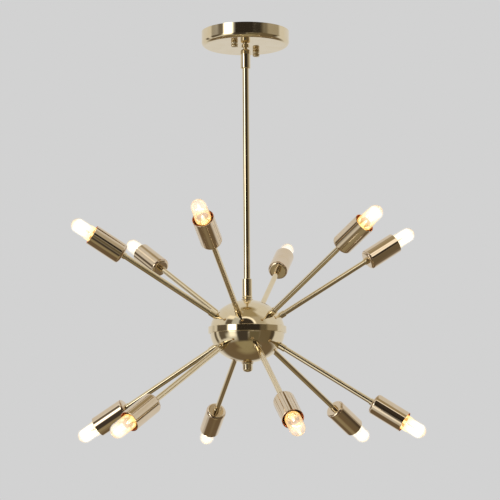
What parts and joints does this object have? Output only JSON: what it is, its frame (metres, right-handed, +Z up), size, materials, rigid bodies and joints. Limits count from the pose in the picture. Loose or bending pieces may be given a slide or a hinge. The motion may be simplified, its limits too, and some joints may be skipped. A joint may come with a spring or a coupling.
{
  "type": "chandelier",
  "caption": "Starburst chandelier: short stem on a round ceiling canopy, flattened round hub, two tiers of straight arms with deep socket cups and tubular bulbs, in polished brass",
  "frame": {"origin": "centre of the mounting plate's top face, in the ceiling plane", "axes": "+Z up out of the ceiling, X along the plate's two slots, everything hangs below"},
  "size_m": [0.4932, 0.4932, 0.5906],
  "materials": {
    "polished_brass": "polished and lacquered",
    "zinc_steel": "zinc plated",
    "dark_insulator": "moulded phenolic",
    "contact_brass": "plain stamped brass",
    "wire_insulation": "clear gold insulation",
    "connector_plastic": "moulded",
    "bulb_glass": "clear glass"
  },
  "bodies": {
    "canopy": {"ceiling_canopy": "polished_brass", "mounting_plate": "zinc_steel", "canopy_studs": "zinc_steel", "canopy_cap_nuts": "polished_brass", "swivel_nipple": "polished_brass", "canopy_lock_nut": "zinc_steel"},
    "swivel_stud": {"swivel_ball_stud": "polished_brass", "stud_retaining_ring": "zinc_steel"},
    "chandelier": {"swivel_body": "polished_brass", "swivel_pivot_pins": "zinc_steel", "stem_tube": "polished_brass", "lower_coupling": "polished_brass", "hub_check_ring": "polished_brass", "center_rod": "zinc_steel", "finial": "polished_brass", "upper_shell": "polished_brass", "lower_shell": "polished_brass", "equator_band": "polished_brass", "arm_lock_nuts": "zinc_steel", "lampholders": "dark_insulator", "socket_contacts": "contact_brass", "supply_wires": "wire_insulation", "arm_wires": "wire_insulation", "wire_connectors": "connector_plastic", "arm_01": "polished_brass", "arm_02": "polished_brass", "arm_03": "polished_brass", "arm_04": "polished_brass", "arm_05": "polished_brass", "arm_06": "polished_brass", "arm_07": "polished_brass", "arm_08": "polished_brass", "arm_09": "polished_brass", "arm_10": "polished_brass", "arm_11": "polished_brass", "arm_12": "polished_brass", "socket_cup_01": "polished_brass", "socket_cup_02": "polished_brass", "socket_cup_03": "polished_brass", "socket_cup_04": "polished_brass", "socket_cup_05": "polished_brass", "socket_cup_06": "polished_brass", "socket_cup_07": "polished_brass", "socket_cup_08": "polished_brass", "socket_cup_09": "polished_brass", "socket_cup_10": "polished_brass", "socket_cup_11": "polished_brass", "socket_cup_12": "polished_brass"},
    "lamp_01": {"bulb_01": "bulb_glass"},
    "lamp_02": {"bulb_02": "bulb_glass"},
    "lamp_03": {"bulb_03": "bulb_glass"},
    "lamp_04": {"bulb_04": "bulb_glass"},
    "lamp_05": {"bulb_05": "bulb_glass"},
    "lamp_06": {"bulb_06": "bulb_glass"},
    "lamp_07": {"bulb_07": "bulb_glass"},
    "lamp_08": {"bulb_08": "bulb_glass"},
    "lamp_09": {"bulb_09": "bulb_glass"},
    "lamp_10": {"bulb_10": "bulb_glass"},
    "lamp_11": {"bulb_11": "bulb_glass"},
    "lamp_12": {"bulb_12": "bulb_glass"}
  },
  "joints": [
    {"name": "swivel_turn", "type": "hinge", "parent": "canopy", "child": "swivel_stud", "pos_m": [0, 0, -0.0305], "axis": [0, 0, 1], "range_deg": [-170, 170]},
    {"name": "swivel_tilt", "type": "hinge", "parent": "swivel_stud", "child": "chandelier", "pos_m": [0, 0, -0.0305], "axis": [0, 1, 0], "range_deg": [-20, 20]},
    {"name": "bulb_01_draw", "type": "slide", "parent": "chandelier", "child": "lamp_01", "axis": [0.8192, 0.2195, 0.5299], "range_m": [0, 0.018]},
    {"name": "bulb_02_draw", "type": "slide", "parent": "chandelier", "child": "lamp_02", "axis": [0.2195, 0.8192, 0.5299], "range_m": [0, 0.018]},
    {"name": "bulb_03_draw", "type": "slide", "parent": "chandelier", "child": "lamp_03", "axis": [-0.5997, 0.5997, 0.5299], "range_m": [0, 0.018]},
    {"name": "bulb_04_draw", "type": "slide", "parent": "chandelier", "child": "lamp_04", "axis": [-0.8192, -0.2195, 0.5299], "range_m": [0, 0.018]},
    {"name": "bulb_05_draw", "type": "slide", "parent": "chandelier", "child": "lamp_05", "axis": [-0.2195, -0.8192, 0.5299], "range_m": [0, 0.018]},
    {"name": "bulb_06_draw", "type": "slide", "parent": "chandelier", "child": "lamp_06", "axis": [0.5997, -0.5997, 0.5299], "range_m": [0, 0.018]},
    {"name": "bulb_07_draw", "type": "slide", "parent": "chandelier", "child": "lamp_07", "axis": [0.5997, 0.5997, -0.5299], "range_m": [0, 0.018]},
    {"name": "bulb_08_draw", "type": "slide", "parent": "chandelier", "child": "lamp_08", "axis": [-0.2195, 0.8192, -0.5299], "range_m": [0, 0.018]},
    {"name": "bulb_09_draw", "type": "slide", "parent": "chandelier", "child": "lamp_09", "axis": [-0.8192, 0.2195, -0.5299], "range_m": [0, 0.018]},
    {"name": "bulb_10_draw", "type": "slide", "parent": "chandelier", "child": "lamp_10", "axis": [-0.5997, -0.5997, -0.5299], "range_m": [0, 0.018]},
    {"name": "bulb_11_draw", "type": "slide", "parent": "chandelier", "child": "lamp_11", "axis": [0.2195, -0.8192, -0.5299], "range_m": [0, 0.018]},
    {"name": "bulb_12_draw", "type": "slide", "parent": "chandelier", "child": "lamp_12", "axis": [0.8192, -0.2195, -0.5299], "range_m": [0, 0.018]}
  ]
}
